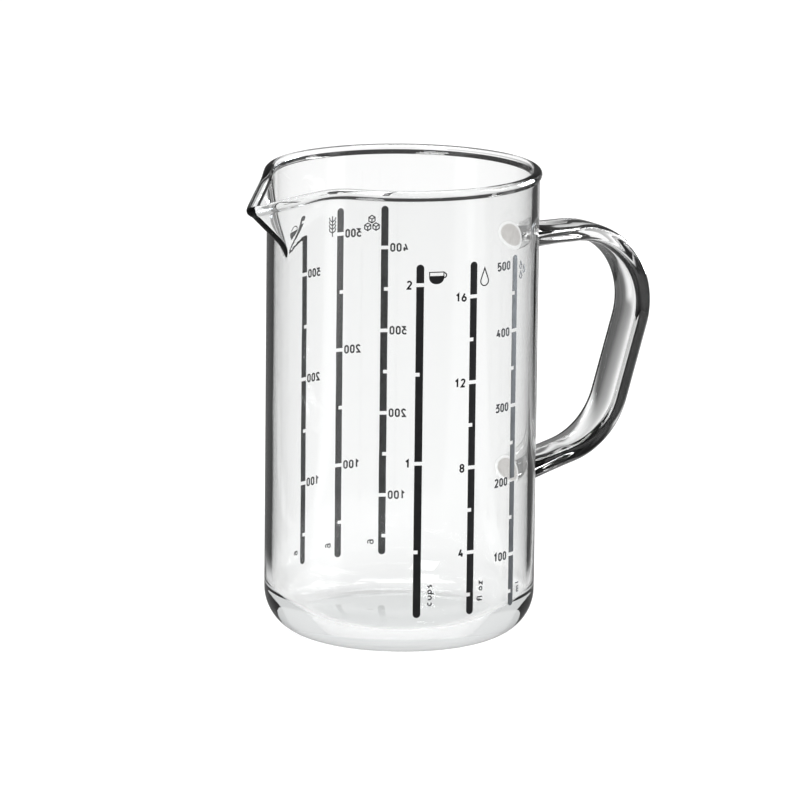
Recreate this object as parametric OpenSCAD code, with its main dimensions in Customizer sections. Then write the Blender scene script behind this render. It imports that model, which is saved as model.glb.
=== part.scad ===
// Measuring cup of clear heat-resistant glass. A straight beaker with a folded pouring beak,
// a solid glass handle fused to its wall, and six measuring scales in fired enamel.
// Millimetres, +Z up. The origin is on the beaker's axis, on the underside of the base.
// The handle points along +X and the beak along -X.

/* [Beaker] */
// Outside diameter of the straight wall
beaker_d = 80; // [70:1:90]
// Height from the table to the top of the rim
beaker_h = 139; // [132:0.5:160]
// Thickness of the wall
wall_t = 2.2; // [1.8:0.1:2.6]
// Thickness of the base
base_t = 5; // [3.5:0.1:6]
// Outside radius of the corner between the wall and the base
corner_r = 13; // [10:0.5:16]
// Inside radius of the same corner
inner_corner_r = 11; // [8:0.5:13]
// Thickness of the fire-polished bead around the rim
bead_d = 3.1; // [2.8:0.1:3.6]
// How far the middle of the bead stands outside the middle of the wall
bead_out = 0.3; // [0.1:0.1:0.4]

/* [Beak] */
// How far the tip of the beak stands out from the wall
beak_reach = 12.7; // [9:0.1:15]
// How far the top of the tip lies below the top of the rim
beak_drop = 7.2; // [4:0.2:8]
// Depth below the top of the rim at which the beak's ridge leaves the wall
beak_depth = 20.4; // [19:0.2:26]
// Half of the arc of the rim that opens into the beak, in degrees
beak_half_arc = 28; // [24:1:32]
// Radius of the fold along the ridge, at the middle of the glass
fold_r = 2.6; // [1.8:0.1:4]
// Thickness of the bead along the edges of the beak
lip_d = 2.8; // [2.5:0.1:3]
// Diameter of the round end of the beak's tip
tip_d = 3.3; // [3.1:0.1:3.8]

/* [Handle] */
// Width of the handle bar
grip_w = 14.6; // [11:0.2:18]
// Thickness of the handle bar
grip_t = 5.5; // [5:0.1:8]
// Widest free space between the wall and the handle
finger_room = 37.8; // [32:0.2:46]
// Height of the middle of the upper weld
upper_weld_z = 115.2; // [108:0.2:120]
// Height of the middle of the lower weld
lower_weld_z = 44; // [38:0.5:50]
// Radius of the upper bend, at the middle of the bar
top_bend_r = 22.6; // [18:0.2:26]
// Radius of the lower bend, at the middle of the bar
low_bend_r = 23; // [18:0.5:26]
// Lean of the straight grip towards the wall, in degrees
grip_lean = 17; // [10:0.5:20]
// Rise of the lower leg away from its weld, in degrees
leg_rise = 14.5; // [8:0.5:20]
// How much thicker the welds are than the bar, above and below
weld_flare = 1.5; // [0.5:0.1:2]
// Length of the flared foot at each weld
weld_l = 14; // [8:0.5:16]

/* [Scales] */
// Thickness of the fired enamel
ink_t = 0.1; // [0.06:0.02:0.2]
// Free height from the top of the scales on the front to the top of the rim
front_headroom = 21.3; // [16:0.1:26]
// Free height from the top of the scales on the back to the top of the rim
back_headroom = 18.8; // [16:0.1:26]
// Width of the scale bars
bar_w = 2.25; // [1.8:0.05:3]
// Height of the clear gap at a main mark
mark_gap = 1.1; // [0.9:0.05:1.6]
// Width of the notch at a half mark
notch_w = 1.25; // [0.8:0.05:1.6]
// Angle of the middle scale on the front
front_angle = -90; // [-100:1:-80]
// Angle between the scales on the front
front_pitch = 23.6; // [21:0.2:26]
// Angle of the middle scale on the back
back_angle = 88; // [80:1:100]
// Angle between the scales on the back
back_pitch = 21; // [20:0.5:24]
// Clear space between a bar on the front and its numerals, unit and symbol
front_label_gap = 1.1; // [0.8:0.1:1.6]
// Clear space between a bar on the back and its numerals, unit and symbol
back_label_gap = 0.5; // [0.4:0.1:0.7]

/* [Lettering] */
// Height of the numerals
digit_h = 2.65; // [2.2:0.05:3.2]
// Step from one numeral to the next
digit_step = 1.95; // [1.8:0.05:2.4]
// Height of the tall letters in the units
letter_h = 2.1; // [1.8:0.1:2.6]
// Width of the strokes of the numerals
stroke_w = 0.5; // [0.36:0.02:0.56]
// Width of the lines of the units and the symbols
line_w = 0.34; // [0.26:0.02:0.4]
// Height of a symbol
symbol_h = 5.2; // [4.2:0.1:5.4]
// Distance from the top of a bar down to its symbol
symbol_inset = 2.2; // [1.5:0.1:4]
// Distance from the bottom of a bar up to its unit
unit_inset = 3.6; // [2:0.1:6]

/* [Measures] */
// Millilitres in a cup
cup_ml = 236.6; // [230:0.1:250]
// Millilitres in a fluid ounce
ounce_ml = 28.4; // [28:0.1:29.6]
// Weight of a millilitre of sugar, in grams
sugar_density = 0.88; // [0.82:0.01:0.9]
// Weight of a millilitre of flour, in grams
flour_density = 0.63; // [0.6:0.01:0.68]
// Weight of a millilitre of grain, in grams
grain_density = 0.7; // [0.66:0.01:0.76]

/* [Hidden] */
$fn = 64;
glass = [0.85, 0.9, 0.9, 0.45];
enamel = [0.09, 0.09, 0.1];
past = 1; // how far a cut runs past the face that it opens
arc_step = 20; // degrees between the points of a drawn arc

// Beaker
wall_r = beaker_d / 2;
bore_r = wall_r - wall_t;
mid_r = wall_r - wall_t / 2;
bead_r = mid_r + bead_out;
bead_z = beaker_h - bead_d / 2;

// Beak, in the plane through its ridge, drawn along +X and turned round at the end
tip = [wall_r + beak_reach - tip_d / 2, 0, beaker_h - beak_drop - tip_d / 2];
foot = [mid_r, 0, beaker_h - beak_depth];
brow = [bead_r * cos(beak_half_arc), bead_r * sin(beak_half_arc), bead_z];
ridge_tilt = atan2(tip.x - foot.x, tip.z - foot.z);
mouth_tilt = atan2(brow.z - tip.z, tip.x - brow.x);
to_brow = brow - tip;
edge_l = norm(to_brow);
beak_root = bore_r * cos(beak_half_arc) - bead_d;
brow_back = to_brow.z * sin(ridge_tilt) - to_brow.x * cos(ridge_tilt) - fold_r;
fold_half = atan2(to_brow.y, brow_back) - asin(fold_r / norm([to_brow.y, brow_back]));

// Handle, as a path in the plane of X and Z
bend = [wall_r + finger_room + grip_t / 2 - top_bend_r, upper_weld_z - top_bend_r];
lean_start = bend + top_bend_r * [cos(grip_lean), -sin(grip_lean)];
lean_dir = [-sin(grip_lean), -cos(grip_lean)];
low_weld = [wall_r, lower_weld_z];
leg_dir = [cos(leg_rise), sin(leg_rise)];
knee_l = cross(low_weld - lean_start, leg_dir) / cross(lean_dir, leg_dir);
knee = lean_start + knee_l * lean_dir;
low_turn = 90 - grip_lean - leg_rise;
knee_cut = low_bend_r * tan(low_turn / 2);
lean_end = knee - knee_cut * lean_dir;
low_bend = lean_end + low_bend_r * [-cos(grip_lean), sin(grip_lean)];
leg_l = norm(knee - low_weld) - knee_cut;
foot_l = min(weld_l, 0.9 * (bend.x - wall_r), 0.9 * leg_l);
foot_steps = [-wall_t, 0, 0.1 * foot_l, 0.22 * foot_l, 0.38 * foot_l, 0.62 * foot_l, foot_l];
bend_steps = 12;
bar_sides = 28;
bar_oval = 0.5; // 1 is an ellipse, as at the welds, and less is a fuller oval

// Scales
mm3_per_ml = 1000;
spandrel = 1 - PI / 4; // share of a square that its inscribed quarter circle leaves out
spandrel_mid = 0.2234; // distance of that share's centroid from the square's sides
corner_loss = spandrel * inner_corner_r ^ 2 * 2 * PI * (bore_r - spandrel_mid * inner_corner_r);
bar_low_z = corner_r;

// Each scale: its angle, the millilitres in its unit, the units from one main mark to the next,
// the distance from the middle of its bar to its labels, and the height of the top of its bar
front_aside = bar_w / 2 + front_label_gap;
back_aside = bar_w / 2 + back_label_gap;
front_top = beaker_h - front_headroom;
back_top = beaker_h - back_headroom;
cup_marks = [front_angle - front_pitch, cup_ml, 1, front_aside, front_top];
ounce_marks = [front_angle, ounce_ml, 4, front_aside, front_top];
millilitre_marks = [front_angle + front_pitch, 1, 100, front_aside, front_top];
sugar_marks = [back_angle - back_pitch, 1 / sugar_density, 100, back_aside, back_top];
flour_marks = [back_angle, 1 / flour_density, 100, back_aside, back_top];
grain_marks = [back_angle + back_pitch, 1 / grain_density, 100, back_aside, back_top];

// Height of the surface of a given contents, over a floor with a rounded corner, and its reverse
function level(ml) = base_t + (mm3_per_ml * ml + corner_loss) / (PI * bore_r ^ 2);
function contents(z) = (PI * bore_r ^ 2 * (z - base_t) - corner_loss) / mm3_per_ml;

// Main marks of a scale up to the top of its bar, and the half marks between them
function main_marks(marks) = [marks[2]:marks[2]:contents(marks[4]) / marks[1]];
function half_marks(marks) = [marks[2] / 2:marks[2]:contents(marks[4]) / marks[1]];

function unit(v) = v / norm(v);
function left(v) = [-v.y, v.x];
function turn_back(list) = [for (i = [len(list) - 1:-1:0]) list[i]];
function arc(centre, r, from, to) =
  let (n = ceil(abs(to - from) / arc_step))
  [for (i = [0:n]) let (a = from + (to - from) * i / n) centre + r * [cos(a), sin(a)]];

// Points of a path moved sideways by d, with mitred corners
function beside(p, d, closed) =
  let (n = len(p))
  [for (i = [0:n - 1])
    let (
      open_start = !closed && i == 0,
      open_end = !closed && i == n - 1,
      before = unit(p[open_start ? 0 : i] - p[open_start ? 1 : (i + n - 1) % n]),
      after = unit(p[open_end ? i : (i + 1) % n] - p[open_end ? i - 1 : i]),
      ahead = open_start ? after : open_end ? before : unit(before + after),
      spread = open_start ? 1 : ahead * after
    )
    p[i] + left(ahead) * d / spread];

module pen(p, w, closed = false) {
  if (closed)
    difference() {
      polygon(beside(p, -w / 2, true));
      polygon(beside(p, w / 2, true));
    }
  else
    polygon(concat(beside(p, w / 2, false), turn_back(beside(p, -w / 2, false))));
}

// Numerals as pen strokes, h high to the middle of the pen
module numeral(c, h) {
  r = h / 4;
  high = 0.24 * h;
  low = h / 2 - high;
  bowl = arc([0.9 * r, 0.31 * h], 0.31 * h, 105, -140);
  if (c == "0") pen(concat(arc([r, h - r], r, 0, 180), arc([r, r], r, 180, 360)), stroke_w, true);
  if (c == "1") pen([[0.2 * r, h - 0.9 * r], [1.3 * r, h], [1.3 * r, 0]], stroke_w);
  if (c == "2") pen(concat(arc([r, h - r], r, 165, -40), [[0.1 * r, 0], [2.1 * r, 0]]), stroke_w);
  if (c == "3") pen(concat([[0.1 * r, h], [1.9 * r, h]], bowl), stroke_w);
  if (c == "4") {
    pen([[1.1 * r, h], [0, 0.3 * h], [2.2 * r, 0.3 * h]], stroke_w);
    pen([[1.55 * r, 0.55 * h], [1.55 * r, 0]], stroke_w);
  }
  if (c == "5") pen(concat([[1.9 * r, h], [0.2 * r, h], [0.1 * r, 0.53 * h]], bowl), stroke_w);
  if (c == "6") {
    pen(arc([r, 1.1 * r], 1.1 * r, 0, 340), stroke_w, true);
    pen([[0.05 * r, 1.7 * r], [1.4 * r, h]], stroke_w);
  }
  if (c == "7") pen([[0.1 * r, h], [2 * r, h], [0.7 * r, 0]], stroke_w);
  if (c == "8") {
    pen(arc([r, h - high], high, 0, 340), stroke_w, true);
    pen(arc([r, low], low, 0, 340), stroke_w, true);
  }
  if (c == "9") translate([2 * r, h]) rotate(180) numeral("6", h);
}

// Small letters as pen strokes, h high for the tall ones, with bowls of radius r
module letter(c, h) {
  r = 0.29 * h;
  x = 2 * r;
  stem = 0.12 * r; // how far a stem stands outside the bowl that it carries
  arch = 0.75 * r;
  if (c == "c") pen(arc([r, r], r, 50, 310), line_w);
  if (c == "f") {
    pen(concat(arc([1.5 * r, h - r], r, 70, 180), [[0.5 * r, 0]]), line_w);
    pen([[0, x], [1.5 * r, x]], line_w);
  }
  if (c == "g") {
    pen(arc([r, r], r, 0, 340), line_w, true);
    pen(concat([[x + stem, x]], arc([r, -0.4 * r], r + stem, 0, -140)), line_w);
  }
  if (c == "l") pen([[0.3 * r, h], [0.3 * r, 0]], line_w);
  if (c == "m") {
    pen([[0, x], [0, 0]], line_w);
    for (i = [0, 1])
      translate([2 * arch * i, 0])
        pen(concat(arc([arch, x - arch], arch, 160, 0), [[2 * arch, 0]]), line_w);
  }
  if (c == "o") pen(arc([r, r], r, 0, 340), line_w, true);
  if (c == "p") {
    pen([[-stem, x], [-stem, x - h]], line_w);
    pen(arc([r, r], r, 0, 340), line_w, true);
  }
  if (c == "s")
    pen(concat(arc([0.8 * r, 1.5 * r], r / 2, 30, 270), arc([0.8 * r, r / 2], r / 2, 70, -150)), line_w);
  if (c == "u") {
    pen(concat([[0, x]], arc([r, r], r, 180, 340)), line_w);
    pen([[x + stem, x], [x + stem, 0]], line_w);
  }
  if (c == "z") pen([[0, x], [1.7 * r, x], [0, 0], [1.7 * r, 0]], line_w);
}

// Step from a letter to the next, as a share of the letters' height
function step_after(c) = c == "m" ? 1.2 : c == "l" || c == "f" || c == " " ? 0.5 : 0.85;
function letter_x(word, i) = i == 0 ? 0 : letter_x(word, i - 1) + letter_h * step_after(word[i - 1]);

// Path of a drop, h high over a round foot of radius r
function drop(h, r) =
  let (spread = acos(r / (h - r)))
  concat([[0, h]], arc([0, r], r, 90 + spread, 450 - spread));

// Layer of enamel on the wall, in the outline of its children, seen from outside
module ink(angle) {
  color(enamel)
    intersection() {
      difference() {
        cylinder(h = beaker_h, r = wall_r + ink_t);
        translate([0, 0, -past]) cylinder(h = beaker_h + 2 * past, r = wall_r);
      }
      rotate([90, 0, 90 + angle]) linear_extrude(wall_r + past) children();
    }
}

// Turn that carries something on the wall sideways by an arc of the given length
function round_by(length) = length * 180 / (PI * wall_r);

module stadium(length, width) {
  square([length - width, width], center = true);
  for (side = [-1, 1]) translate([side * (length - width) / 2, 0]) circle(d = width);
}

// Cut into a bar from its left side, which stays out of the round top of the bar
module mark_cut(z, top, width) {
  if (z < top - bar_w)
    translate([-bar_w / 2 - past, z - mark_gap / 2])
      square([past + width, mark_gap]);
}

module scale_bar(marks) {
  top = marks[4];
  ink(marks[0])
    difference() {
      translate([0, (top + bar_low_z) / 2]) rotate(90) stadium(top - bar_low_z, bar_w);
      for (value = main_marks(marks)) mark_cut(level(value * marks[1]), top, bar_w + past);
      for (value = half_marks(marks)) mark_cut(level(value * marks[1]), top, notch_w);
    }
}

module scale_numerals(marks) {
  for (value = main_marks(marks)) {
    digits = str(value);
    width = digit_step * len(digits);
    middle_z = min(level(value * marks[1]), marks[4] - digit_h);
    ink(marks[0] - round_by(marks[3] + width / 2))
      for (i = [0:len(digits) - 1])
        translate([digit_step * i - width / 2 + stroke_w, middle_z - (digit_h - stroke_w) / 2])
          numeral(digits[i], digit_h - stroke_w);
  }
}

// Unit that reads upwards beside the foot of a bar
module scale_unit(marks, word) {
  ink(marks[0] + round_by(marks[3] + letter_h / 2))
    translate([letter_h / 2, bar_low_z + unit_inset])
      rotate(90)
        for (i = [0:len(word) - 1])
          translate([letter_x(word, i), 0]) letter(word[i], letter_h - line_w);
}

// Symbol beside the top of a bar, its foot at the middle of its own width
module scale_symbol(marks, width, height) {
  ink(marks[0] + round_by(marks[3] + width / 2))
    translate([0, marks[4] - symbol_inset - height]) children();
}

// Section of the trough square to its ridge: two sides and a round fold through the origin
module fold_outline(out) {
  r = fold_r + out;
  back = wall_r;
  spread = r * cos(fold_half) + (back - fold_r + r * sin(fold_half)) * tan(fold_half);
  polygon(concat(
    [[-back, -spread]],
    arc([-fold_r, 0], r, fold_half - 90, 90 - fold_half),
    [[-back, spread]]
  ));
}

// Straight-sided trough that runs along the ridge, its faces moved outwards from the middle of the glass
module trough(out) {
  intersection() {
    translate(tip)
      rotate([0, ridge_tilt, 0])
        translate([0, 0, -beaker_h / 2]) linear_extrude(beaker_h) fold_outline(out);
    translate([beak_root, -wall_r, beaker_h - beaker_d]) cube([wall_r, beaker_d, beaker_d + bead_d]);
  }
}

module below_mouth() {
  translate(tip)
    rotate([0, mouth_tilt, 0])
      translate([-beaker_d, -wall_r, -beaker_d]) cube([beaker_d + bead_d, beaker_d, beaker_d]);
}

module rounded_can(r, low, high, corner) {
  rotate_extrude() {
    translate([0, low]) square([r - corner, high - low]);
    translate([0, low + corner]) square([r, high - low - corner]);
    intersection() {
      translate([r - corner, low + corner]) circle(corner);
      translate([0, low]) square([r, 2 * corner]);
    }
  }
}

// Bead along one edge of the beak, from the rim to the tip
module beak_edge(side) {
  aim = [to_brow.x, side * to_brow.y, to_brow.z];
  translate(tip) rotate([0, acos(aim.z / edge_l), atan2(aim.y, aim.x)]) cylinder(h = edge_l, d = lip_d);
}

module glass_beaker() {
  color(glass)
    rotate([0, 0, 180]) {
      difference() {
        union() {
          rounded_can(wall_r, 0, bead_z, corner_r);
          translate([0, 0, bead_z]) rotate_extrude() translate([bead_r, 0]) circle(d = bead_d);
          intersection() {
            trough(wall_t / 2);
            below_mouth();
            cylinder(h = bead_z, r = beaker_d);
          }
        }
        rounded_can(bore_r, base_t, beaker_h + past, inner_corner_r);
        trough(-wall_t / 2);
      }
      for (side = [-1, 1]) beak_edge(side);
      translate(tip) rotate([90, 0, 0]) sphere(d = tip_d); // its poles lie inside the two edges
    }
}

// Oval ring of points around one station of the bar, given as [x, z, heading, flare]
function ring(station) =
  let (
    up = [-sin(station[2]), cos(station[2])],
    half_t = grip_t / 2 + station[3],
    half_w = grip_w / 2 + station[3] / 4,
    oval = bar_oval + (1 - bar_oval) * station[3] / weld_flare
  )
  [for (k = [0:bar_sides - 1])
    let (
      a = 360 * k / bar_sides,
      rise = half_t * sign(sin(a)) * abs(sin(a)) ^ oval,
      side = half_w * sign(cos(a)) * abs(cos(a)) ^ oval
    )
    [station[0] + up.x * rise, side, station[1] + up.y * rise]];

function flare(s) = weld_flare * max(0, 1 - max(0, s) / foot_l) ^ 2;

// Stations from the upper weld, round both bends and back to the lower weld
function bar_stations() = concat(
  [for (s = foot_steps) [wall_r + s, upper_weld_z, 0, flare(s)]],
  [for (i = [0:bend_steps])
    let (a = (90 + grip_lean) * i / bend_steps)
    [bend.x + top_bend_r * sin(a), bend.y + top_bend_r * cos(a), -a, 0]],
  [for (i = [0:bend_steps])
    let (a = -grip_lean - low_turn * i / bend_steps)
    [low_bend.x + low_bend_r * cos(a), low_bend.y + low_bend_r * sin(a), a - 90, 0]],
  [for (s = turn_back(foot_steps))
    [low_weld.x + s * leg_dir.x, low_weld.y + s * leg_dir.y, leg_rise - 180, flare(s)]]
);

module glass_handle() {
  stations = bar_stations();
  last = len(stations) - 1;
  sides = [for (i = [0:last - 1], k = [0:bar_sides - 1])
    let (a = i * bar_sides + k, b = i * bar_sides + (k + 1) % bar_sides)
    each [[a, a + bar_sides, b + bar_sides], [a, b + bar_sides, b]]];
  start_cap = [for (k = [0:bar_sides - 1]) k];
  end_cap = [for (k = [bar_sides - 1:-1:0]) last * bar_sides + k];
  color(glass)
    difference() {
      polyhedron([for (s = stations) each ring(s)], concat(sides, [start_cap, end_cap]));
      cylinder(h = beaker_h, r = wall_r);
    }
}

// Symbols, drawn upwards from a foot at the middle of their width
module cup_outline(h) {
  r = 0.62 * h;
  corner = 0.55 * h;
  side = 0.88 * r;
  difference() {
    polygon(concat([[r, h], [-r, h]], arc([corner - r, corner], corner, 180, 270),
      arc([r - corner, corner], corner, 270, 360)));
    polygon([[-side, 0.92 * h], [side, 0.92 * h], [side, 0.66 * h], [-side, 0.66 * h]]);
  }
  pen(arc([0.98 * r, 0.7 * h], 0.2 * h, -100, 100), line_w);
}

// Ear with pairs of bent leaves along its stem
module ear_outline(h) {
  pen([[0, 0], [0, h]], line_w);
  for (row = [1:4], side = [-1, 1])
    translate([0, 0.18 * row * h])
      pen([[0, 0], [0.15 * side * h, 0.09 * h], [0.19 * side * h, 0.22 * h]], line_w);
}

module bowl_outline(h) {
  r = 0.5 * h;
  intersection() {
    translate([0, 0.58 * h]) circle(r);
    translate([-r, 0.14 * h]) square([2 * r, 0.44 * h]);
  }
  translate([-0.36 * r, 0]) square([0.72 * r, 0.16 * h]);
  pen(arc([0, 0.5 * h], 0.4 * h, 20, 160), line_w);
}

// Cube of edge a, seen along its diagonal
module cube_outline(a) {
  pen([for (k = [0:5]) a * [cos(60 * k + 30), sin(60 * k + 30)]], line_w, true);
  for (k = [0:2]) pen([[0, 0], a * [cos(120 * k + 30), sin(120 * k + 30)]], line_w);
}

// Three cubes of edge a in a pile
module cubes_outline(a) {
  aside = a * cos(30) + line_w;
  for (at = [[-aside, a], [aside, a], [0, a + aside * sqrt(3)]]) translate(at) cube_outline(a);
}

module cup_scale_bar() { scale_bar(cup_marks); }
module cup_scale_numerals() { scale_numerals(cup_marks); }
module cup_scale_unit() { scale_unit(cup_marks, "cups"); }
module cup_scale_symbol() {
  h = 0.7 * symbol_h;
  scale_symbol(cup_marks, symbol_h, h) cup_outline(h);
}

module ounce_scale_bar() { scale_bar(ounce_marks); }
module ounce_scale_numerals() { scale_numerals(ounce_marks); }
module ounce_scale_unit() { scale_unit(ounce_marks, "fl oz"); }
module ounce_scale_symbol() {
  scale_symbol(ounce_marks, 0.6 * symbol_h, symbol_h) pen(drop(symbol_h, 0.27 * symbol_h), line_w, true);
}

module millilitre_scale_bar() { scale_bar(millilitre_marks); }
module millilitre_scale_numerals() { scale_numerals(millilitre_marks); }
module millilitre_scale_unit() { scale_unit(millilitre_marks, "ml"); }
module millilitre_scale_symbol() {
  h = 0.4 * symbol_h;
  scale_symbol(millilitre_marks, 1.8 * h, symbol_h)
    for (at = [[-0.45 * h, 1.4 * h], [0.45 * h, 0.7 * h], [-0.45 * h, 0]])
      translate(at) pen(drop(h, 0.3 * h), line_w, true);
}

module sugar_scale_bar() { scale_bar(sugar_marks); }
module sugar_scale_numerals() { scale_numerals(sugar_marks); }
module sugar_scale_unit() { scale_unit(sugar_marks, "g"); }
module sugar_scale_symbol() {
  scale_symbol(sugar_marks, 0.96 * symbol_h, symbol_h) cubes_outline(0.22 * symbol_h);
}

module flour_scale_bar() { scale_bar(flour_marks); }
module flour_scale_numerals() { scale_numerals(flour_marks); }
module flour_scale_unit() { scale_unit(flour_marks, "g"); }
module flour_scale_symbol() {
  h = 1.2 * symbol_h;
  scale_symbol(flour_marks, 0.5 * symbol_h, h) ear_outline(h);
}

module grain_scale_bar() { scale_bar(grain_marks); }
module grain_scale_numerals() { scale_numerals(grain_marks); }
module grain_scale_unit() { scale_unit(grain_marks, "g"); }
module grain_scale_symbol() { scale_symbol(grain_marks, symbol_h, symbol_h) bowl_outline(symbol_h); }

glass_beaker();
glass_handle();
cup_scale_bar();
cup_scale_numerals();
cup_scale_unit();
cup_scale_symbol();
ounce_scale_bar();
ounce_scale_numerals();
ounce_scale_unit();
ounce_scale_symbol();
millilitre_scale_bar();
millilitre_scale_numerals();
millilitre_scale_unit();
millilitre_scale_symbol();
sugar_scale_bar();
sugar_scale_numerals();
sugar_scale_unit();
sugar_scale_symbol();
flour_scale_bar();
flour_scale_numerals();
flour_scale_unit();
flour_scale_symbol();
grain_scale_bar();
grain_scale_numerals();
grain_scale_unit();
grain_scale_symbol();
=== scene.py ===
# %% [markdown]
# # A glass measuring cup
#
# The real object is a straight beaker of clear, heat-resistant glass. Its rim is melted into a round
# bead, a beak is folded out of the rim for pouring, and a solid glass handle is fused to the wall. Six
# scales in black enamel are fired onto the outside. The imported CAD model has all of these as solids.
# This lesson keeps the printed scales as they are, replaces the two glass pieces by smoother skins, and
# gives both their finish.

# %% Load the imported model
import math

import bpy
import numpy as np
from mathutils import Matrix, Vector


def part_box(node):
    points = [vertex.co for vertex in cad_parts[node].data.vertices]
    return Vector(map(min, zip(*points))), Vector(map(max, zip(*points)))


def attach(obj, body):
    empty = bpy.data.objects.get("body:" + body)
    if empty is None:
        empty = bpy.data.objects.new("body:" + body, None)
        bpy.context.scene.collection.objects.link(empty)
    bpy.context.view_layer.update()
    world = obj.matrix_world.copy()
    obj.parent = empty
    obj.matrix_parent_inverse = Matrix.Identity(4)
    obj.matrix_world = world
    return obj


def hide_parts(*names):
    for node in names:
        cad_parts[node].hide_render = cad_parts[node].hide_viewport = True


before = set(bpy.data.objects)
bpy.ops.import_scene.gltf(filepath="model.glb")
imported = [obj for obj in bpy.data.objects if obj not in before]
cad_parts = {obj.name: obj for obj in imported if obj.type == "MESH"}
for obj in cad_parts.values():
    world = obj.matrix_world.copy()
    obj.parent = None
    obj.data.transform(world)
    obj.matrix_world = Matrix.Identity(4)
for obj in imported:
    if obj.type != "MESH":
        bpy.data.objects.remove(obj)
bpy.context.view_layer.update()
MM = 0.001


# %% [markdown]
# ## The camera
#
# The cup is seen from a little above, from far away through a long lens, so its sides stay nearly
# parallel. The beak points to the left and towards the viewer, and the handle to the right and away. An
# empty that the camera tracks could aim it, but here its matrix is written out, so that the small roll
# of the photograph fits in too. A camera in Blender looks along its own -Z, so the columns of its
# matrix are its right, its up and its backward direction. The values put the rim, the base and the
# marks of the scales where the photograph has them.

# %% Camera
CAMERA_AZIMUTH = math.radians(-31)
CAMERA_ELEVATION = math.radians(12.24)
CAMERA_ROLL = math.radians(0.63)
CAMERA_DISTANCE = 2.0
CAMERA_LENS = 305.3
CAMERA_SENSOR = 36.0
AIM_HEIGHT = 69.2 * MM
AIM_ASIDE = -0.3 * MM


def add_camera():
    """Camera aimed at a point over the origin from a given azimuth and elevation, with a small roll."""
    right = Vector((math.cos(CAMERA_AZIMUTH), math.sin(CAMERA_AZIMUTH), 0))
    forward = Vector((-right.y, right.x, 0))
    back = -forward * math.cos(CAMERA_ELEVATION) + Vector((0, 0, math.sin(CAMERA_ELEVATION)))
    up = back.cross(right)
    rolled_right = right * math.cos(CAMERA_ROLL) + up * math.sin(CAMERA_ROLL)
    rolled_up = up * math.cos(CAMERA_ROLL) - right * math.sin(CAMERA_ROLL)
    data = bpy.data.cameras.new("camera")
    data.lens = CAMERA_LENS
    data.sensor_width = CAMERA_SENSOR
    camera = bpy.data.objects.new("camera", data)
    aim = right * AIM_ASIDE + Vector((0, 0, AIM_HEIGHT))
    turn = Matrix((rolled_right, rolled_up, back)).transposed().to_4x4()
    camera.matrix_world = Matrix.Translation(aim + back * CAMERA_DISTANCE) @ turn
    bpy.context.scene.collection.objects.link(camera)
    bpy.context.scene.camera = camera
    return camera


camera = add_camera()
print("camera at", [round(c, 3) for c in camera.location])

# %% [markdown]
# ## A skin from rings of points
#
# Both glass pieces are closed skins: rings of points, one after another, joined by four-sided faces and
# closed by a fan at either end. Light bends at every face of clear glass, so a skin must be watertight
# and smooth, with no face inside it. Blender's primitives and booleans could give the rough shape, but
# they leave seams and uneven faces that show in glass. Whole numpy arrays of points go into the mesh at
# once instead. The volume that a skin encloses comes from its faces' corners, and it is positive only
# where the faces point outwards.

# %% Closed skin
ML = 1e-6


def closed_skin(name, rings, first_pole, last_pole):
    """Object with a mesh through rings of points, an array of (rings, points in a ring, 3) in mm.

    Each face joins a point, the next one around, and the same two of the next ring. Each pole closes one
    end. The volume is a sixth of the sum of a . (b x c) over the triangles with corners a, b and c.
    """
    ring_count, per_ring = rings.shape[:2]
    here = np.arange(ring_count * per_ring).reshape(ring_count, per_ring)
    ahead = np.roll(here, -1, axis=1)
    quads = np.stack([here[:-1], ahead[:-1], ahead[1:], here[1:]], axis=-1).reshape(-1, 4)
    pole = np.full(per_ring, here.size)
    fans = np.concatenate([
        np.stack([pole, ahead[0], here[0]], axis=-1),
        np.stack([pole + 1, here[-1], ahead[-1]], axis=-1),
    ])
    points = np.concatenate([rings.reshape(-1, 3), [first_pole, last_pole]]) * MM
    mesh = bpy.data.meshes.new(name)
    mesh.from_pydata(points.tolist(), [], quads.tolist() + fans.tolist())
    mesh.polygons.foreach_set("use_smooth", np.ones(len(mesh.polygons), bool))
    skin = bpy.data.objects.new(name, mesh)
    bpy.context.scene.collection.objects.link(skin)
    corners = np.concatenate([quads[:, [0, 1, 2]], quads[:, [0, 2, 3]], fans])
    a, b, c = (points[corners[:, k]] for k in range(3))
    volume = np.einsum("ij,ij->", a, np.cross(b, c)) / 6
    print(name, "has", len(corners), "triangles around", round(volume / ML, 2), "ml of glass")
    return skin


# %% [markdown]
# ## The shape of the beaker
#
# A lathe would turn a plain beaker, but the beak breaks the round. So the middle of the glass is
# written as a radius that depends on the angle and the height: the straight wall, or a trough with a
# V-shaped section where that stands further out. A smooth maximum rounds the corner between them as
# softened glass does. The upper edge of the glass is the level rim or the slanting mouth of the beak,
# whichever is lower.

# %% Measures of the rim and the beak
beaker_low, beaker_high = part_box("glass_beaker")
WALL_R = 40.0
WALL_T = 2.2
BEAD_R = 1.55
BEAD_OUT = 0.2
TIP_ROUND = 1.65
BEAK_HALF_ARC = math.radians(28)
BEAK_DEPTH = 20.4
BEAK_DROP = 7.2

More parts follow.
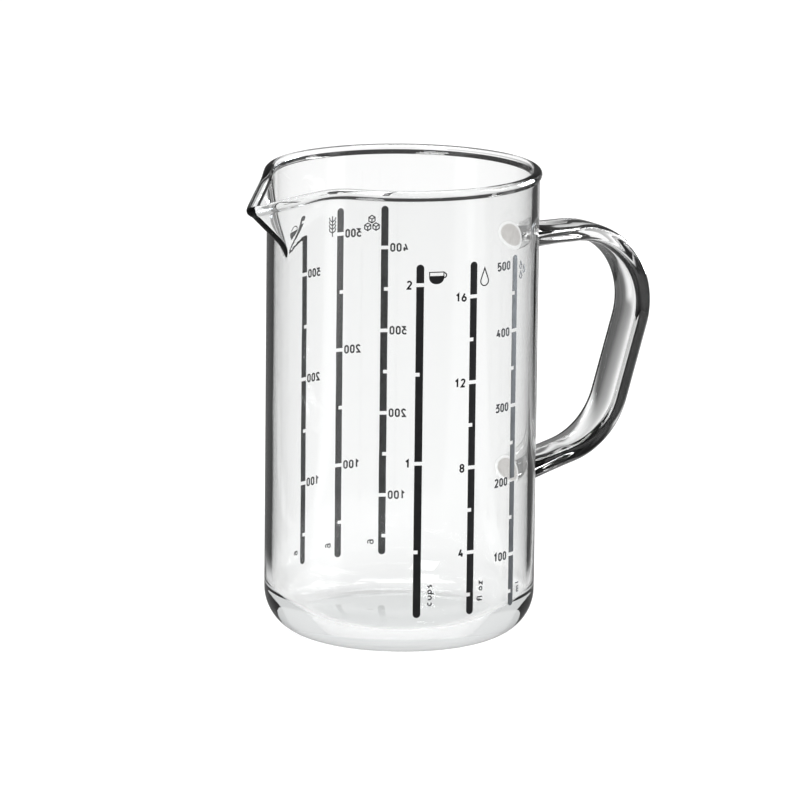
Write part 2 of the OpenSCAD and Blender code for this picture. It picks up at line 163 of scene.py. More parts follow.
HEIGHT = beaker_high.z / MM
MID_R = WALL_R - WALL_T / 2
RIM_Z = HEIGHT - BEAD_R
TIP_R = -beaker_low.x / MM - TIP_ROUND
TIP_Z = HEIGHT - BEAK_DROP - TIP_ROUND
BROW_R = MID_R + BEAD_OUT
BROW_X = BROW_R * math.cos(BEAK_HALF_ARC)
BROW_Y = BROW_R * math.sin(BEAK_HALF_ARC)
RIDGE_TILT = math.atan2(TIP_R - MID_R, TIP_Z - HEIGHT + BEAK_DEPTH)
MOUTH_TILT = math.atan2(RIM_Z - TIP_Z, TIP_R - BROW_X)
print("tip of the beak at radius", round(TIP_R, 2), "and height", round(TIP_Z, 2), "mm")

# %% Wall, trough and rim
RIDGE_AT_RIM = TIP_R + (RIM_Z - TIP_Z) * math.tan(RIDGE_TILT)
FOLD_OVER = 1.25
SIDE_ANGLE = math.atan2(BROW_Y, RIDGE_AT_RIM + FOLD_OVER - BROW_X)
FOLD_ANGLE = math.asin(math.sin(SIDE_ANGLE) * (1 + FOLD_OVER / TIP_R)) - SIDE_ANGLE
FOOT_ROUND = 3.0
BROW_ROUND = 1.5
RIM_PASSES = 40


def smooth_max(a, b, reach):
    """Larger of a and b, with their corner rounded where they differ by less than reach."""
    near = np.maximum(reach - np.abs(a - b), 0)
    return np.maximum(a, b) + near**2 / (4 * reach)


def mid_radius(angle, z):
    """Radius of the middle of the glass at an angle from the beak: the wall, or the trough where wider.

    At one height a side of the trough is a straight line that leaves the ridge at SIDE_ANGLE, so its
    radius is the ridge's times sin(SIDE_ANGLE) / sin(SIDE_ANGLE + angle). The angle is rounded near 0,
    along the fold.
    """
    ridge = TIP_R + FOLD_OVER + (z - TIP_Z) * math.tan(RIDGE_TILT)
    turned = np.minimum(SIDE_ANGLE + np.hypot(angle, FOLD_ANGLE), math.pi / 2)
    return smooth_max(MID_R, ridge * math.sin(SIDE_ANGLE) / np.sin(turned), FOOT_ROUND)


def rim_height(angle):
    """Height of the middle of the bead: the level rim, or the plane of the mouth where that is lower.

    The plane falls towards the tip. Its height depends on the radius and the radius on the height, so the
    two are worked out in turn until they agree.
    """
    z = np.full_like(angle, RIM_Z)
    for _ in range(RIM_PASSES):
        mouth = TIP_Z + (TIP_R - mid_radius(angle, z) * np.cos(angle)) * math.tan(MOUTH_TILT)
        z = -smooth_max(-RIM_Z, -mouth, BROW_ROUND)
    return z


print("sides of the trough at", round(math.degrees(SIDE_ANGLE), 1), "degrees from its axis")

# %% Points and normals
UP = np.array([0, 0, 1.0])
SLOPE_STEP = 1e-4


def spoke(angle):
    """Unit vector away from the axis at an angle from the beak, which points along -X."""
    return np.stack([-np.cos(angle), np.sin(angle), np.zeros_like(angle)], axis=-1)


def mid_point(angle, z):
    """Point on the middle of the glass: the radius times the spoke, and the height."""
    return mid_radius(angle, z)[..., None] * spoke(angle) + z[..., None] * UP


def edge_point(angle):
    """Point on the upper edge of the glass."""
    return mid_point(angle, rim_height(angle))


def unit(v):
    """Vectors of length 1 in the same directions."""
    return v / np.linalg.norm(v, axis=-1, keepdims=True)


def mid_normal(angle, z):
    """Outward normal of the middle of the glass: the cross product of its slopes up and around."""
    along = mid_point(angle + SLOPE_STEP, z) - mid_point(angle - SLOPE_STEP, z)
    upward = mid_point(angle, z + SLOPE_STEP) - mid_point(angle, z - SLOPE_STEP)
    return unit(np.cross(upward, along))


print("edge of the glass at the tip:", np.round(edge_point(np.zeros(1))[0], 2), "mm")

# %% [markdown]
# ## The skin of the beaker
#
# The real wall is about 2 mm of glass, thicker in the base, with a bead on its edge where the rim was
# melted. A Solidify modifier could thicken a single sheet, but it would neither thicken the base nor
# round the bead. So the skin is one run of rings: up the inside from the centre of the floor, over the
# bead, and down the outside. The faces of the wall lie half a thickness to either side of the middle,
# square to it, and the outer one stays a hair under the printed scales. Points crowd towards the tip of
# the beak and rows towards the rim, because the shape turns fastest there.

# %% Grid around the beaker
AROUND = 400
TIP_CROWDING = 0.85
LIP_R = 1.4
BEAK_FADE = 0.1

lap = np.arange(-AROUND // 2, AROUND // 2) / (AROUND / 2)
around = math.pi * ((1 - TIP_CROWDING) * lap + TIP_CROWDING * lap**3)
rim_z = rim_height(around)
in_beak = np.clip((BEAK_HALF_ARC + BEAK_FADE - np.abs(around)) / (2 * BEAK_FADE), 0, 1)
bead_r = BEAD_R + (LIP_R - BEAD_R) * in_beak
bead_out = BEAD_OUT * (1 - in_beak)
print(AROUND, "points around, at the tip", round(math.degrees(np.diff(around).min()), 2), "degrees apart")

# %% Rows of the wall and the bead
PRINT_CLEARANCE = 0.04
WALL_ROWS = 70
RIM_CROWDING = 3
BEAD_ROWS = 18
BEAD_FILLET = 0.3


def wall_rows(foot_z, side):
    """One face of the wall from the rim down to foot_z, side 1 outside and -1 inside.

    The face stands off the middle by half the wall, or by the bead's own circle where that is wider, with
    a small fillet between the two.
    """
    fall = (np.arange(WALL_ROWS) / (WALL_ROWS - 1))[:, None] ** RIM_CROWDING
    z = rim_z + (foot_z - rim_z) * fall
    angle = np.broadcast_to(around, z.shape)
    half = WALL_T / 2 - PRINT_CLEARANCE * (side > 0)
    bulge = np.sqrt(np.maximum(bead_r**2 - (rim_z - z) ** 2, 0)) + side * bead_out
    stand_off = smooth_max(half, bulge, BEAD_FILLET)
    return mid_point(angle, z) + side * stand_off[..., None] * mid_normal(angle, z)


def bead_rows():
    """Upper half of the bead, from its inner to its outer side: half a circle square to the edge."""
    normal = mid_normal(around, rim_z)
    along = edge_point(around + SLOPE_STEP) - edge_point(around - SLOPE_STEP)
    rise = unit(np.cross(along, normal))
    turn = np.linspace(math.pi, 0, BEAD_ROWS + 2)[1:-1, None, None]
    centre = edge_point(around) + bead_out[:, None] * normal
    return centre + bead_r[:, None] * (np.cos(turn) * normal + np.sin(turn) * rise)


print("top of the bead at", round(bead_rows()[..., 2].max(), 2), "mm")

# %% Beaker
BASE_T = 5.0
CORNER_R = 13.0
INNER_CORNER_R = 11.0
SKIN_R = WALL_R - PRINT_CLEARANCE
CORNER_ROWS = 16
FLOOR_ROWS = 8


def corner_rows(wall_r, floor_z, corner_r):
    """Quarter circle from the wall to the floor, then the flat floor, turned on the axis."""
    turn = np.linspace(0, math.pi / 2, CORNER_ROWS + 1)[1:]
    flat = np.linspace(1, 0, FLOOR_ROWS + 1)[1:-1]
    radius = np.concatenate([wall_r - corner_r * (1 - np.cos(turn)), flat * (wall_r - corner_r)])
    z = np.concatenate([floor_z + corner_r * (1 - np.sin(turn)), np.full(flat.size, floor_z)])
    return radius[:, None, None] * spoke(around) + z[:, None, None] * UP


def add_beaker():
    """Beaker as one skin: up the inside from its floor, over the bead, and down the outside."""
    inside = np.concatenate([
        wall_rows(BASE_T + INNER_CORNER_R, -1),
        corner_rows(WALL_R - WALL_T, BASE_T, INNER_CORNER_R),
    ])
    outside = np.concatenate([wall_rows(CORNER_R, 1), corner_rows(SKIN_R, 0.0, CORNER_R)])
    rings = np.concatenate([inside[::-1], bead_rows(), outside])
    return closed_skin("beaker_skin", rings, (0, 0, BASE_T), (0, 0, 0))


beaker = add_beaker()
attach(beaker, "root")
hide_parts("glass_beaker")

# %% [markdown]
# ## The path of the handle
#
# The handle is a bar of solid glass, bent while it was soft. Its path lies in one plane: a straight
# piece out of the wall, a bend, the leaning grip, a second bend and a straight piece back to the wall.
# A Bezier curve could be drawn by eye through these, but lines and arcs that meet without a kink give
# the even bends of real bar. The two straight lines of the grip and the lower leg cross at the knee,
# and the lower bend rounds that corner off.

# %% Path of the handle
GRIP_T = 5.5
UPPER_WELD_Z = 115.2
LOWER_WELD_Z = 44.0
TOP_BEND_R = 22.6
LOW_BEND_R = 23.0
GRIP_LEAN = math.radians(17)
LEG_RISE = math.radians(14.5)
BEND_ROWS = 40
STRAIGHT_ROWS = 24
GRIP_HEADING = -math.pi / 2 - GRIP_LEAN
LEG_HEADING = LEG_RISE - math.pi
handle_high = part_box("glass_handle")[1]


def cross_product(a, b):
    """Cross product of two flat vectors, which is a number."""
    return a[0] * b[1] - a[1] * b[0]


def line_rows(start, end, heading):
    """Rows of x, z and heading along a line, crowded towards its ends and without its last point."""
    s = (1 - np.cos(math.pi * np.arange(STRAIGHT_ROWS) / STRAIGHT_ROWS)) / 2
    return np.column_stack([start + s[:, None] * (end - start), np.full(s.size, heading)])


def arc_rows(centre, r, start, end):
    """Rows of x, z and heading along a clockwise arc between two headings, without its last point."""
    heading = start + (end - start) * np.arange(BEND_ROWS) / BEND_ROWS
    return np.column_stack([centre[0] - r * np.sin(heading), centre[1] + r * np.cos(heading), heading])


def handle_path():
    """Rows of x, z and heading from the upper weld to the lower one, in millimetres and radians."""
    upper_weld = np.array([WALL_R, UPPER_WELD_Z])
    lower_weld = np.array([WALL_R, LOWER_WELD_Z])
    grip_way = np.array([-math.sin(GRIP_LEAN), -math.cos(GRIP_LEAN)])
    leg_way = np.array([math.cos(LEG_RISE), math.sin(LEG_RISE)])
    outward = np.array([math.cos(GRIP_LEAN), -math.sin(GRIP_LEAN)])
    top_bend = np.array([handle_high.x / MM - GRIP_T / 2 - TOP_BEND_R, UPPER_WELD_Z - TOP_BEND_R])
    grip_top = top_bend + TOP_BEND_R * outward
    grip_l = cross_product(lower_weld - grip_top, leg_way) / cross_product(grip_way, leg_way)
    knee = grip_top + grip_l * grip_way
    knee_cut = LOW_BEND_R * math.tan((math.pi / 2 - GRIP_LEAN - LEG_RISE) / 2)
    grip_end = knee - knee_cut * grip_way
    low_bend = grip_end - LOW_BEND_R * outward
    return np.concatenate([
        line_rows(upper_weld, top_bend + [0, TOP_BEND_R], 0.0),
        arc_rows(top_bend, TOP_BEND_R, 0.0, GRIP_HEADING),
        line_rows(grip_top, grip_end, GRIP_HEADING),
        arc_rows(low_bend, LOW_BEND_R, GRIP_HEADING, LEG_HEADING),
        line_rows(knee - knee_cut * leg_way, lower_weld, LEG_HEADING),
        [[*lower_weld, LEG_HEADING]],
    ])


path = handle_path()
print("the handle's path has", len(path), "rows and ends at", np.round(path[-1, :2], 2))

# %% [markdown]
# ## The skin of the handle
#
# Pressing the soft bar onto the wall spread it into a foot at each end. A curve with a bevel could draw
# the bar, but not the feet, which have to lie on the round wall all over. So an oval is carried along
# the path. It is an ellipse at the welds and fuller between them, as drawn bar is. Near its ends each
# point slides along the bar until the last ring lies on the wall, and smaller rings close the foot
# there.
#
# A weld gathers light at its edge, and a painted glow stands in for that light here. An attribute,
# which is a number kept at each point of the mesh, marks the weld faces and their edges, so that the
# painted glow can follow them.

# %% Rings of the handle
GRIP_W = 14.6
BAR_OVAL = 0.5
BAR_AROUND = 128
WELD_FLARE = 1.5
SIDE_FLARE = WELD_FLARE / 4
FLARE_L = 14.0
FIT_L = 12.0
WELD_CLEARANCE = 0.05
WELD_R = SKIN_R + WELD_CLEARANCE
CAP_SCALES = np.array([0.3, 0.5, 0.6, 0.68, 0.76, 0.84, 0.95, 0.985])

caps = CAP_SCALES.size
run = np.concatenate([[0], np.cumsum(np.linalg.norm(np.diff(path[:, :2], axis=0), axis=1))])
to_end = np.pad(np.minimum(run, run[-1] - run), caps)[:, None]
ring_scale = np.concatenate([CAP_SCALES, np.ones(len(path)), CAP_SCALES[::-1]])[:, None]
ring_x, ring_z, ring_heading = np.pad(path, ((caps, caps), (0, 0)), mode="edge").T[..., None]
bar_turn = 2 * math.pi * np.arange(BAR_AROUND) / BAR_AROUND


def signed_power(value, power):
    """Size of the value raised to a power, with the value's own sign."""
    return np.sign(value) * np.abs(value) ** power


def smooth_rise(t):
    """0 where t is under 0, 1 where it is over 1, and 3 t^2 - 2 t^3 between."""
    t = np.clip(t, 0, 1)
    return t**2 * (3 - 2 * t)


def bar_rings():
    """Oval carried along the path, from the cap on one weld to the cap on the other.

    Half its width and half its thickness follow cos and sin to a power, which is 1 for an ellipse. The
    slide is how far along the bar a point is from the wall.
    """
    spread = np.maximum(1 - to_end / FLARE_L, 0) ** 2
    power = BAR_OVAL + (1 - BAR_OVAL) * spread
    side = (GRIP_W / 2 + SIDE_FLARE * spread) * ring_scale * signed_power(np.cos(bar_turn), power)
    rise = (GRIP_T / 2 + WELD_FLARE * spread) * ring_scale * signed_power(np.sin(bar_turn), power)
    onward = np.cos(ring_heading)
    upward = np.sin(ring_heading)
    off_wall = np.sqrt(WELD_R**2 - side**2) - WALL_R + rise * upward
    slide = smooth_rise(1 - to_end / FIT_L) * off_wall / onward
    x = ring_x - rise * upward + slide * onward
    z = ring_z + rise * onward + slide * upward
    return np.stack([x, side, z], axis=-1)


print("the handle is", round(run[-1], 1), "mm of bar, in", len(ring_scale), "rings")

# %% Handle
WELD_MIDDLE = 0.5
WELD_EDGE = 0.76
EDGE_FADE = 0.1
EDGE_WIDER = 0.2


def weld_light():
    """0 on the bar, WELD_MIDDLE on the weld faces, and up to 1 at their edge, which is wider below."""
    below = np.clip(-np.sin(bar_turn) * np.cos(ring_heading), 0, 1)
    at_edge = np.clip((ring_scale * (1 + EDGE_WIDER * below**2) - WELD_EDGE) / EDGE_FADE, 0, 1)
    on_rings = np.where(ring_scale < 1, WELD_MIDDLE + (1 - WELD_MIDDLE) * at_edge, 0)
    return np.concatenate([on_rings.ravel(), [WELD_MIDDLE, WELD_MIDDLE]])


handle = closed_skin("handle_skin", bar_rings(), (WELD_R, 0, UPPER_WELD_Z), (WELD_R, 0, LOWER_WELD_Z))
light_values = handle.data.attributes.new(name="weld_light", type="FLOAT", domain="POINT")
light_values.data.foreach_set("value", weld_light())
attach(handle, "root")
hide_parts("glass_handle")

# %% [markdown]
# ## Shader maths
#
# A finish is a tree of shader nodes. Such a tree can be drawn by hand in the shader editor, but a long
# formula is easier to read as a formula. The class below wraps a socket, so that sums and products of
# sockets can be written as Python expressions, and one method adds any other node: first its settings,
# then its sockets.

# %% Shader trees
class Wire:
    """An output socket in a tree, on which + - and * add Math nodes."""

    def __init__(self, tree, socket):
        self.tree = tree
        self.socket = socket

    def combine(self, operation, a, b):
        return self.tree.node("ShaderNodeMath", {"operation": operation}, {0: a, 1: b})

    def __add__(self, other):
        return self.combine("ADD", self, other)

    def __radd__(self, other):
        return self.combine("ADD", other, self)

    def __sub__(self, other):
        return self.combine("SUBTRACT", self, other)

    def __rsub__(self, other):
        return self.combine("SUBTRACT", other, self)

    def __mul__(self, other):
        return self.combine("MULTIPLY", self, other)

    def __rmul__(self, other):
        return self.combine("MULTIPLY", other, self)


class ShaderTree:
    """A node tree of a material or of the world, emptied and then filled one call at a time."""

    def __init__(self, owner):
        owner.use_nodes = True
        self.nodes = owner.node_tree.nodes
        self.links = owner.node_tree.links
        self.nodes.clear()

    def node(self, kind, settings, sockets, output=0):
        """Adds a node with its settings, sets or links its sockets, and returns one output as a Wire."""
        made = self.nodes.new(kind)
        for name, value in settings.items():
            setattr(made, name, value)
        for name, value in sockets.items():
            if isinstance(value, Wire):
                self.links.new(value.socket, made.inputs[name])
            else:
                made.inputs[name].default_value = value
        return Wire(self, made.outputs[output]) if made.outputs else None


# %% Nodes used by several finishes
def coordinate(tree, vector, axis):
    """One coordinate of a vector: X, Y or Z."""
    return tree.node("ShaderNodeSeparateXYZ", {}, {0: vector}, axis)


def mix_colour(tree, share, a, b):
    """Colour between a and b."""
    return tree.node("ShaderNodeMix", {"data_type": "RGBA"}, {0: share, 6: a, 7: b}, 2)


def noise(tree, place, scale, detail=2.0):
    """Smooth random value from about 0.2 to 0.8, with its largest lumps 1 / scale across, in metres."""
    return tree.node("ShaderNodeTexNoise", {}, {"Vector": place, "Scale": scale, "Detail": detail})


def bump(tree, height, strength, depth):
    """Normal of a surface that is raised by the height times the depth."""
    return tree.node("ShaderNodeBump", {}, {"Strength": strength, "Distance": depth, "Height": height})


def between(tree, value, low, high, first=0.0, last=1.0):
    """Soft step: first where the value is under low, last where it is over high."""
    step = {"interpolation_type": "SMOOTHSTEP"}
    return tree.node("ShaderNodeMapRange", step, {"Value": value, 1: low, 2: high, 3: first, 4: last})


# %% [markdown]
# ## Clear glass
#
# The glass has hardly any colour of its own: a trace of tint that differs from place to place, and
# faint waves that bend what stands behind it. Blender's Glass shader would do for one plain pane, but
# the Principled shader with full transmission takes the tint, the waves and the roughness together. The
# wall came smooth from the mould, so its roughness is exactly 0. The rim's bead and the handle were
# worked again in the flame, which left a trace of haze, so theirs is a little more than 0.
#
# Real glass also carries light along inside itself, and lets it out where it ends: at the welds and
# under the base. Tracing that would take very many rays, so a pale glow, seen only from one side, is
# mixed in there.

# %% Clear glass
GLASS_IOR = 1.47
TINT_SCALE = 25.0
TINT_STRONG = (0.985, 0.99, 0.988, 1)
TINT_FAINT = (0.995, 0.998, 0.997, 1)
HAZE_SCALE = 60.0
HAZE_DETAIL = 4.0
HAZE_LEAST = 0.01
HAZE_MORE = 0.02
WAVE_SCALE = 45.0
WAVE_DETAIL = 1.0
WAVE_STRENGTH = 0.03
WAVE_DEPTH = 2 * MM


def clear_glass(name, worked, glow):
    """Clear glass with faint waves and tint, haze where it was worked, and a pale glow on some faces.

    worked(tree, place) is 1 where the glass was worked again. glow(tree, place) gives the share and the
    colour of the glow.
    """
    material = bpy.data.materials.new(name)
    tree = ShaderTree(material)
    place = tree.node("ShaderNodeTexCoord", {}, {}, "Object")
    haze = HAZE_LEAST + HAZE_MORE * noise(tree, place, HAZE_SCALE, HAZE_DETAIL)
    waves = noise(tree, place, WAVE_SCALE, WAVE_DETAIL)
    glass = tree.node("ShaderNodeBsdfPrincipled", {}, {
        "Base Color": mix_colour(tree, noise(tree, place, TINT_SCALE), TINT_STRONG, TINT_FAINT),
        # The trace of roughness also marks light from worked glass as not singular, and the floor puts its
        # painted panels and dark rings only on that light.
        "Roughness": worked(tree, place) * haze,
        "Normal": bump(tree, waves, WAVE_STRENGTH, WAVE_DEPTH),
        "IOR": GLASS_IOR,
        "Transmission Weight": 1.0,
    })
    share, glow_colour = glow(tree, place)
    pale = tree.node("ShaderNodeEmission", {}, {"Color": glow_colour, "Strength": 1.0})
    both = tree.node("ShaderNodeMixShader", {}, {0: share, 1: glass, 2: pale})
    tree.node("ShaderNodeOutputMaterial", {}, {"Surface": both})
    print(name, "has", len(tree.nodes), "nodes")
    return material


# %% Glass of the beaker and of the handle
GLOW_SHARE = 0.85
BEAD_LOW_Z = (HEIGHT - 2 * BEAD_R) * MM
# Painted glow under the base, in place of light that the glass carries there.
UNDERSIDE_Z = 0.05 * MM
UNDERSIDE_SCALE = 40.0
UNDERSIDE_DULL = (0.72, 0.74, 0.74, 1)
UNDERSIDE_BRIGHT = (0.88, 0.89, 0.89, 1)
# Painted glow at the welds, a grey middle with a painted bright edge, in place of light the bar carries
# there.
WELD_FACE = 0.3
WELD_SCALE = 500.0
WELD_DULL = (0.66, 0.63, 0.61, 1)
WELD_BRIGHT = (0.98, 0.96, 0.94, 1)
WELD_EDGE_LIGHT = (1.28, 1.28, 1.28, 1)


def on_bead(tree, place):
    """1 on the bead of the rim, which was melted again, and 0 on the wall."""
    z = coordinate(tree, place, "Z")
    return tree.node("ShaderNodeMath", {"operation": "GREATER_THAN"}, {0: z, 1: BEAD_LOW_Z})


def everywhere(tree, place):
    """1 all over the handle."""
    return 1.0


def from_behind(tree):
    """1 where a face is seen from inside the glass, and 0 where it is seen from outside."""
    return tree.node("ShaderNodeNewGeometry", {}, {}, "Backfacing")


def under_base(tree, place):
    """Share and colour of the glow on the underside of the base, seen from inside the glass."""
    z = coordinate(tree, place, "Z")
    low = tree.node("ShaderNodeMath", {"operation": "LESS_THAN"}, {0: z, 1: UNDERSIDE_Z})
    colour = mix_colour(tree, noise(tree, place, UNDERSIDE_SCALE), UNDERSIDE_DULL, UNDERSIDE_BRIGHT)
    return GLOW_SHARE * low * from_behind(tree), colour


def at_welds(tree, place):
    """Share and colour of the glow on the two weld faces, seen through the wall, with a bright edge."""
    light = tree.node("ShaderNodeAttribute", {"attribute_name": "weld_light"}, {}, "Fac")
    on_face = between(tree, light, 0.0, WELD_FACE)
    middle = mix_colour(tree, noise(tree, place, WELD_SCALE), WELD_DULL, WELD_BRIGHT)
    colour = mix_colour(tree, between(tree, light, WELD_MIDDLE, 1.0), middle, WELD_EDGE_LIGHT)
    return GLOW_SHARE * on_face * (1 - from_behind(tree)), colour


beaker.data.materials.append(clear_glass("clear_glass", on_bead, under_base))
handle.data.materials.append(clear_glass("handle_glass", everywhere, at_welds))

# %% [markdown]
# ## Black enamel
#
# The scales are ceramic ink, screen printed and fired. The ink is near black and satin, a little thin
# and glossier in some places than in others, with the fine grain of the screen. A flat black would look
# like a sticker, so one soft noise drives both the colour and the roughness, and a much finer one gives
# the grain. The CAD solids of the prints stay as they are and only get this finish.

# %% Black enamel
ENAMEL_IOR = 1.45
ENAMEL_THICK = (0.006, 0.006, 0.007, 1)
ENAMEL_THIN = (0.02, 0.02, 0.022, 1)
ENAMEL_GLOSSY = 0.35
ENAMEL_DULLER = 0.3
BLOTCH_SCALE = 400.0
BLOTCH_DETAIL = 3.0
GRAIN_SCALE = 5000.0
GRAIN_STRENGTH = 0.3
GRAIN_DEPTH = 0.05 * MM


def black_enamel():
    """Fired enamel: near black, slightly thin in places, satin, with the fine grain of a screen print."""
    material = bpy.data.materials.new("black_enamel")
    tree = ShaderTree(material)
    place = tree.node("ShaderNodeTexCoord", {}, {}, "Object")
    blotch = noise(tree, place, BLOTCH_SCALE, BLOTCH_DETAIL)
    paint = tree.node("ShaderNodeBsdfPrincipled", {}, {
        "Base Color": mix_colour(tree, blotch, ENAMEL_THICK, ENAMEL_THIN),
        "Roughness": ENAMEL_GLOSSY + ENAMEL_DULLER * blotch,
        "Normal": bump(tree, noise(tree, place, GRAIN_SCALE), GRAIN_STRENGTH, GRAIN_DEPTH),
        "IOR": ENAMEL_IOR,
    })
    tree.node("ShaderNodeOutputMaterial", {}, {"Surface": paint})
    return material


enamel = black_enamel()
prints = [obj for name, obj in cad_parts.items() if "_scale_" in name]
for obj in prints:
    for slot in obj.material_slots:
        slot.material = enamel
print("enamel on", len(prints), "printed pieces")

# %% [markdown]
# ## What the glass sees
#
# Clear glass shows only what stands around it. In front of plain white it would all but vanish, so a
# photographer of glass sets black cards and fading grey panels around it, out of the picture, and their
# bent images draw its edges. Real cards could be modelled, but they work for one camera only, and they
# would dim the whole cup. Here the same is said with the history of the light, which the Light Path
# node knows:
#
# - Light that was thrown back inside the glass meets dark cards. They draw the rim, the beak and the
#   outlines.
# - Light that came through one piece of worked glass meets panels, three of them around the cup, that
#   fade to one side. They show how round the bar of the handle is. Is Singular Ray tells this light
#   apart: it is 1 for light that last left a surface with a roughness of exactly 0, which is the wall.
# - Light that only went through walls meets the white floor, so the wall stays clear.

# %% History of the light
CARD_DARK = 0.985
CARD_EASE = 0.4


def light_path(tree, kind):
    """One fact about the light that arrives."""
    return tree.node("ShaderNodeLightPath", {}, {}, kind)


def light_history(tree):
    """Three shares, each 0 or 1, of what the light has been through.

    They say that it has been in glass, has passed one wall and entered the next, and was thrown back.
    """
    crossings = light_path(tree, "Transmission Depth")
    in_glass = between(tree, crossings, 0.0, 1.0)
    past_wall = between(tree, crossings, 2.0, 3.0)
    thrown_back = in_glass * between(tree, light_path(tree, "Glossy Depth"), 0.0, 1.0)
    return in_glass, past_wall, thrown_back


print("the cards take", CARD_DARK, "of the light, and less of it past a wall")

# %% Panels and cards
PANEL_WAY = math.radians(59)
PANEL_COUNT = 3
PANEL_LOW = 0.1
PANEL_HIGH = 1.2
PANEL_FADE = (-11.0, 19.0)
CARD_START = (7.0, 12.0)


def panel_turn(tree, way):
    """Angle of a direction from the middle of the nearest panel, in degrees."""
    x = coordinate(tree, way, "X")
    y = coordinate(tree, way, "Y")
    angle = tree.node("ShaderNodeMath", {"operation": "ARCTAN2"}, {0: y, 1: x}) - PANEL_WAY
    half = math.pi / PANEL_COUNT
    turn = tree.node("ShaderNodeMath", {"operation": "WRAP"}, {0: angle, 1: half, 2: -half})
    return turn * math.degrees(1)


def panel_light(tree, turn):
    """Light of a panel, which fades towards one side."""
    return between(tree, turn, *PANEL_FADE, PANEL_LOW, PANEL_HIGH)


def card_shade(tree, turn):
    """Darkness of the cards: CARD_DARK, except straight behind the cup."""
    aside = tree.node("ShaderNodeMath", {"operation": "ABSOLUTE"}, {0: turn})
    return CARD_DARK * between(tree, aside, *CARD_START)


panel_ways = [round(math.degrees(PANEL_WAY) + k * 360 / PANEL_COUNT) for k in range(PANEL_COUNT)]
print("panels in the directions", panel_ways, "degrees from the handle")

# %% [markdown]
# ## The white floor
#
# The cup stands on a wide white floor that fills the whole picture. A floor that was only lit would
# need so much light that the cup itself would glare, so the floor also gives off some light of its own,
# but only towards the camera, straight or by way of the glass. The lamps light it just enough to keep
# the shadow under the cup. Seen through the glass, most of what stands behind the cup is this floor, so
# the cards and panels are shades on it.

# %% Shades on the floor
HANDLE_PLACE = (0.075, 0, 0)
CARD_FOOT = (0.06, 0.12)
PANEL_FOOT = (0.2, 0.3)
PANEL_REACH = (0.54, 0.6)
REACH_TURN = (-6.0, -1.0)
CLOSE_START = (0.06, 0.08)
CLOSE_END = (0.16, 0.2)
CLOSE_DARK = 0.8
FAR_START = (1.0, 1.4)
FAR_DARK = 0.92
GLASS_LOSS = 0.1
WALL_LOSS = 0.05
MIRROR_LOSS = 0.8


def floor_shade(tree):
    """Share of the floor's light that is left, as a product of what each shade lets through.

    Distances from the cup are in metres. A panel stands from PANEL_FOOT on, and ends at PANEL_REACH on
    its bright side.
    """
    in_glass, past_wall, thrown_back = light_history(tree)
    from_worked = in_glass * (1 - past_wall) * (1 - light_path(tree, "Is Singular Ray"))
    sent_through = from_worked * (1 - thrown_back)
    mirrored = light_path(tree, "Is Glossy Ray") * (1 - in_glass)
    place = tree.node("ShaderNodeTexCoord", {}, {}, "Object")
    away = tree.node("ShaderNodeVectorMath", {"operation": "LENGTH"}, {0: place}, "Value")
    from_handle = tree.node("ShaderNodeVectorMath", {"operation": "SUBTRACT"}, {0: place, 1: HANDLE_PLACE})
    turn = panel_turn(tree, from_handle)
    card = between(tree, away, *CARD_FOOT) * card_shade(tree, turn)
    past_panel = between(tree, away, *PANEL_REACH) * between(tree, turn, *REACH_TURN)
    panel = between(tree, away, *PANEL_FOOT) * (1 - past_panel) * (1 - panel_light(tree, turn))
    close_by = between(tree, away, *CLOSE_START) * between(tree, away, *CLOSE_END, 1.0, 0.0)
    far_away = between(tree, away, *FAR_START, 0.0, FAR_DARK)
    shade = 1 - card * thrown_back * (1 - CARD_EASE * past_wall)
    shade = shade * (1 - panel * sent_through)
    shade = shade * (1 - CLOSE_DARK * close_by * sent_through)
    shade = shade * (1 - far_away * from_worked)
    shade = shade * (1 - GLASS_LOSS * in_glass - WALL_LOSS * past_wall)
    return shade * (1 - MIRROR_LOSS * mirrored)


print("panels from", PANEL_FOOT[0], "to", PANEL_REACH[1], "m, dark floor from", FAR_START[0], "m on")

# %% Floor
FLOOR_R = 6.0
FLOOR_GAP = 0.3 * MM
FLOOR_POINTS = 128
FLOOR_GLOW = 0.85
FLOOR_GREY = 0.25
CAMERA_KINDS = ("Is Camera Ray", "Is Glossy Ray", "Is Transmission Ray")


def white_floor():
    """Pale matt floor that also glows towards the camera."""
    material = bpy.data.materials.new("white_floor")
    tree = ShaderTree(material)
    to_camera = between(tree, sum(light_path(tree, kind) for kind in CAMERA_KINDS), 0.0, 1.0)
    shade = floor_shade(tree)
    lit = tree.node("ShaderNodeBsdfDiffuse", {}, {"Color": FLOOR_GREY * shade})
    glow = tree.node("ShaderNodeEmission", {}, {"Color": FLOOR_GLOW * to_camera * shade, "Strength": 1.0})
    both = tree.node("ShaderNodeAddShader", {}, {0: lit, 1: glow})
    tree.node("ShaderNodeOutputMaterial", {}, {"Surface": both})
    return material


def add_floor():
    """Round floor, a little under the cup: a circle of points and one face."""
    turn = 2 * math.pi * np.arange(FLOOR_POINTS) / FLOOR_POINTS
    edge = FLOOR_R * np.column_stack([np.cos(turn), np.sin(turn)])
    points = np.column_stack([edge, np.full(FLOOR_POINTS, -FLOOR_GAP)])
    mesh = bpy.data.meshes.new("floor")
    mesh.from_pydata(points.tolist(), [], [list(range(FLOOR_POINTS))])
    mesh.materials.append(white_floor())
    floor = bpy.data.objects.new("floor", mesh)
    bpy.context.scene.collection.objects.link(floor)
    return floor


floor = add_floor()
print("floor", 2 * FLOOR_R, "m across")

# %% [markdown]
# ## The sky of the studio
#
# Light that the glass bends upwards leaves the floor behind and comes from the world around it. An even
# white world would wash the edges of the glass out, so its brightness follows the same history of the
# light: white to the camera, soft to matt things, dark low down and pale overhead to light that came
# through one piece of glass, and dim to mirror images. Light that was thrown back meets the cards
# again. They leave a gap beside each panel, which draws a white line down the handle, and they close
# overhead.

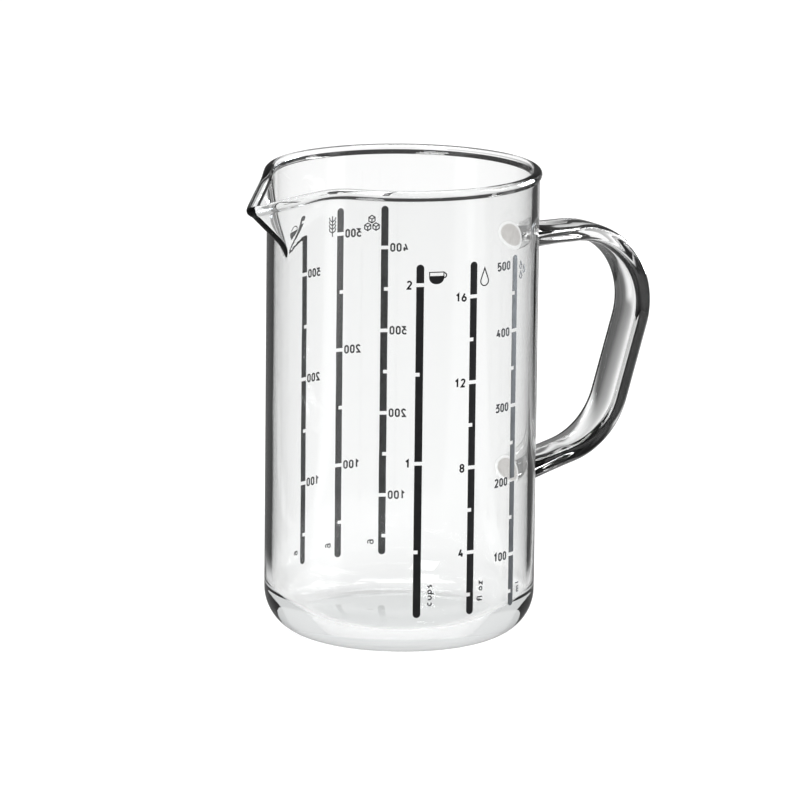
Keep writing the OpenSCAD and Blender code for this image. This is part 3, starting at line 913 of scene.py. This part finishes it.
# %% World
SKY_DARK = 0.06
SKY_SOFT = 0.75
SKY_MIRROR = 0.12
SKY_DIFFUSE = 0.5
SKY_EDGE = (0.5, 0.7)
OVERHEAD = (0.3, 0.45)
GAP_START = (34.0, 38.0)
GAP_END = (50.0, 54.0)


def light_studio():
    """World whose light depends on its direction and on what the light goes through."""
    world = bpy.data.worlds.new("studio")
    bpy.context.scene.world = world
    tree = ShaderTree(world)
    way = tree.node("ShaderNodeTexCoord", {}, {}, "Generated")
    height = coordinate(tree, way, "Z")
    turn = panel_turn(tree, way)
    to_camera = light_path(tree, "Is Camera Ray")
    to_matt = light_path(tree, "Is Diffuse Ray")
    in_glass, past_wall, thrown_back = light_history(tree)
    low_dark = between(tree, height, *SKY_EDGE, SKY_DARK, SKY_SOFT)
    bent_up = past_wall * SKY_SOFT + (1 - past_wall) * low_dark
    gap = between(tree, turn, *GAP_START) * between(tree, turn, *GAP_END, 1.0, 0.0)
    open_way = 1 - card_shade(tree, turn) * (1 - gap)
    open_way = open_way * (1 - CARD_DARK * between(tree, height, *OVERHEAD))
    thrown = SKY_SOFT * (open_way + (1 - open_way) * CARD_EASE * past_wall)
    by_glass = thrown_back * thrown + (1 - thrown_back) * bent_up
    seen = in_glass * by_glass + (1 - in_glass) * SKY_MIRROR
    light = to_camera + (1 - to_camera) * (to_matt * SKY_DIFFUSE + (1 - to_matt) * seen)
    shine = tree.node("ShaderNodeBackground", {}, {"Color": light, "Strength": 1.0})
    tree.node("ShaderNodeOutputWorld", {}, {"Surface": shine})
    return tree


print("the world has", len(light_studio().nodes), "nodes")

# %% [markdown]
# ## Lamps
#
# Three large soft lamps light the enamel and the floor, and put soft shines on the glass. They are area
# lamps, because a small lamp or a sun would draw hard shadows. A fourth stands low at the right as a
# panel that only reflections see: it makes the enamel shine grey where the wall turns towards it.

# %% Lamps
LAMP_AIM = Vector((0, 0, 0.07))
DAYLIGHT = (0.86, 0.93, 1.0)


def add_lamp(name, place, size, power):
    """Soft rectangular lamp aimed at the middle of the cup."""
    data = bpy.data.lights.new(name, "AREA")
    data.shape = "RECTANGLE"
    data.size, data.size_y = size
    data.energy = power
    lamp = bpy.data.objects.new(name, data)
    lamp.location = place
    lamp.rotation_euler = (LAMP_AIM - Vector(place)).to_track_quat("-Z", "Y").to_euler()
    bpy.context.scene.collection.objects.link(lamp)
    print(name, "gives", power, "W from", place)
    return lamp


add_lamp("key_lamp", place=(-0.9, -0.5, 1.0), size=(0.5, 0.8), power=12)
add_lamp("fill_lamp", place=(1.0, -0.6, 0.8), size=(0.3, 0.8), power=6)
add_lamp("top_lamp", place=(0.1, 0.3, 1.3), size=(0.9, 0.5), power=12)
side_panel = add_lamp("side_panel", place=(0.9, 0.05, 0.28), size=(0.4, 0.4), power=44)
side_panel.data.color = DAYLIGHT
side_panel.visible_camera = False
side_panel.visible_diffuse = False
side_panel.visible_transmission = False

# %% [markdown]
# ## The view
#
# The Standard view shows each colour as it is written, where a film-like view would grey the white
# floor.

# %% View
bpy.context.scene.view_settings.view_transform = "Standard"
